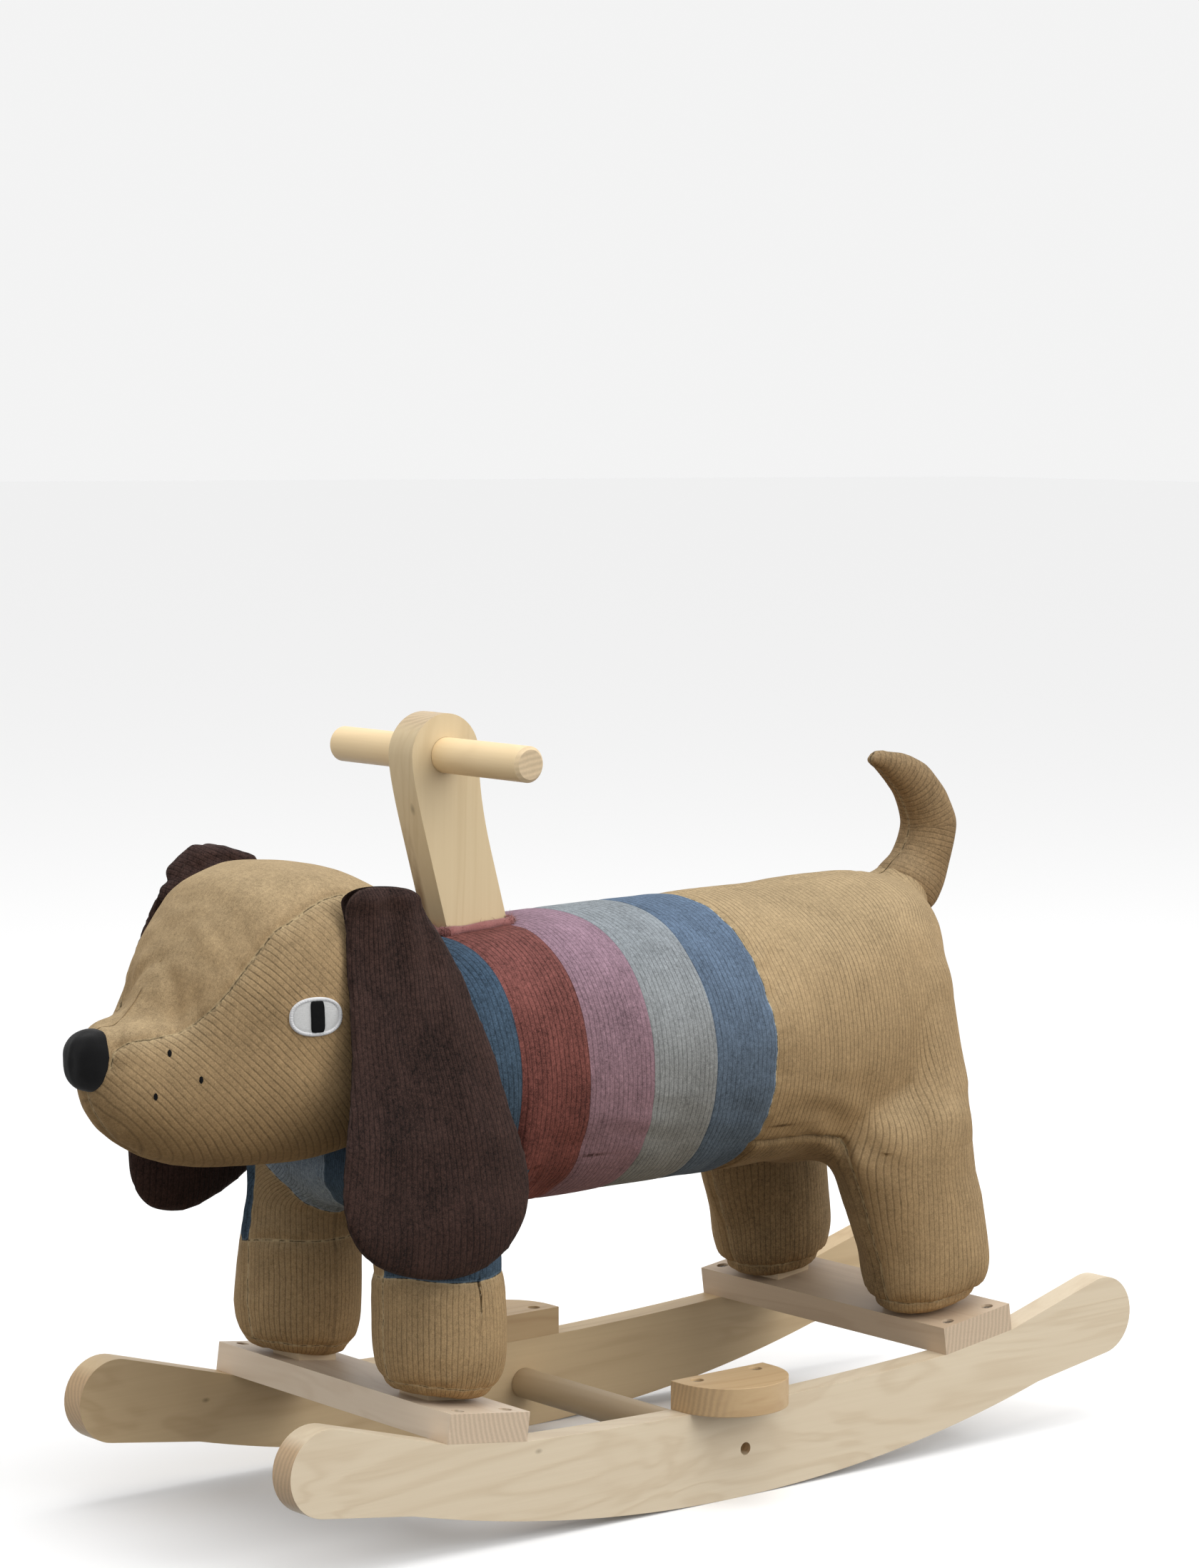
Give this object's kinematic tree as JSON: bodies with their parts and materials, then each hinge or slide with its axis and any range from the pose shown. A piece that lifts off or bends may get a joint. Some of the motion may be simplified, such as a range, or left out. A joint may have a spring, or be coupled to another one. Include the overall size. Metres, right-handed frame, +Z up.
{
  "type": "rocking horse",
  "caption": "Child's rocking toy: a stuffed corduroy dog with swinging ears and a sprung tail, bolted to two curved wooden rockers with footrests and a grip bar.",
  "frame": {"origin": "on the floor, under the centre of the bounding box", "axes": "+Z up, -Y towards the nose, +X to the dog's left"},
  "size_m": [0.3, 0.7644, 0.488],
  "materials": {
    "rocker_wood": "satin lacquered solid beech",
    "board_wood": "satin lacquered plywood",
    "dowel_wood": "satin lacquered turned beech",
    "post_wood": "satin lacquered poplar plywood",
    "hidden_wood": "planed softwood",
    "screw_steel": "zinc plated",
    "screw_brass": "yellow passivated",
    "tan_cord": "ribbed corduroy plush",
    "sole_cord": "ribbed corduroy plush",
    "brown_cord": "ribbed corduroy plush",
    "blue_cord": "ribbed corduroy plush",
    "red_cord": "ribbed corduroy plush",
    "mauve_cord": "ribbed corduroy plush",
    "grey_cord": "ribbed corduroy plush",
    "slate_cord": "ribbed corduroy plush",
    "rose_fleece": "fuzzy fleece cord",
    "filling": "polyester wadding",
    "white_thread": "satin stitched thread",
    "black_thread": "satin stitched thread",
    "black_felt": "brushed felt"
  },
  "bodies": {
    "base": {"rocker_left": "rocker_wood", "rocker_right": "rocker_wood", "front_board": "board_wood", "rear_board": "board_wood", "rail": "dowel_wood", "footrest_left": "board_wood", "footrest_right": "board_wood", "board_screws": "screw_steel", "footrest_screws": "screw_steel", "rail_screws": "screw_brass", "handle_post": "post_wood", "grip_bar": "dowel_wood", "grip_pin": "dowel_wood", "post_piping": "rose_fleece", "spine_board": "hidden_wood", "bar_front_left": "hidden_wood", "bar_front_right": "hidden_wood", "bar_rear_left": "hidden_wood", "bar_rear_right": "hidden_wood", "leg_bolts": "screw_steel", "leg_washers": "screw_steel", "spine_screws": "screw_steel", "post_cleats": "hidden_wood", "cleat_screws": "screw_steel", "post_bolts": "screw_steel", "post_nuts": "screw_steel", "body_filling": "filling", "head_filling": "filling", "leg_filling": "filling", "collar": "blue_cord", "stripe_red": "red_cord", "stripe_mauve": "mauve_cord", "stripe_grey": "grey_cord", "stripe_slate": "slate_cord", "rump": "tan_cord", "leg_front_left": "tan_cord", "leg_front_right": "tan_cord", "leg_rear_left": "tan_cord", "leg_rear_right": "tan_cord", "sleeve_left": "blue_cord", "sleeve_right": "blue_cord", "paw_soles": "sole_cord", "head_gusset": "tan_cord", "head_side_left": "tan_cord", "head_side_right": "tan_cord", "nose": "black_felt", "eye_left": "white_thread", "eye_right": "white_thread", "pupil_left": "black_thread", "pupil_right": "black_thread", "whisker_knots": "black_thread"},
    "ear_left": {"ear_left": "brown_cord"},
    "ear_right": {"ear_right": "brown_cord"},
    "tail": {"tail": "tan_cord"}
  },
  "joints": [
    {"name": "ear_left_swing", "type": "hinge", "parent": "base", "child": "ear_left", "pos_m": [0.077, -0.21175, 0.39746], "axis": [0, -0.9999, -0.0105], "range_deg": [0, 60]},
    {"name": "ear_right_swing", "type": "hinge", "parent": "base", "child": "ear_right", "pos_m": [-0.077, -0.21175, 0.39746], "axis": [0, 0.9999, 0.0105], "range_deg": [0, 60]},
    {"name": "tail_wag", "type": "hinge", "parent": "base", "child": "tail", "pos_m": [0, 0.28223, 0.35463], "axis": [0, 0.9999, 0.0105], "range_deg": [-12, 12], "stiffness_Nm_per_rad": 0.6}
  ]
}
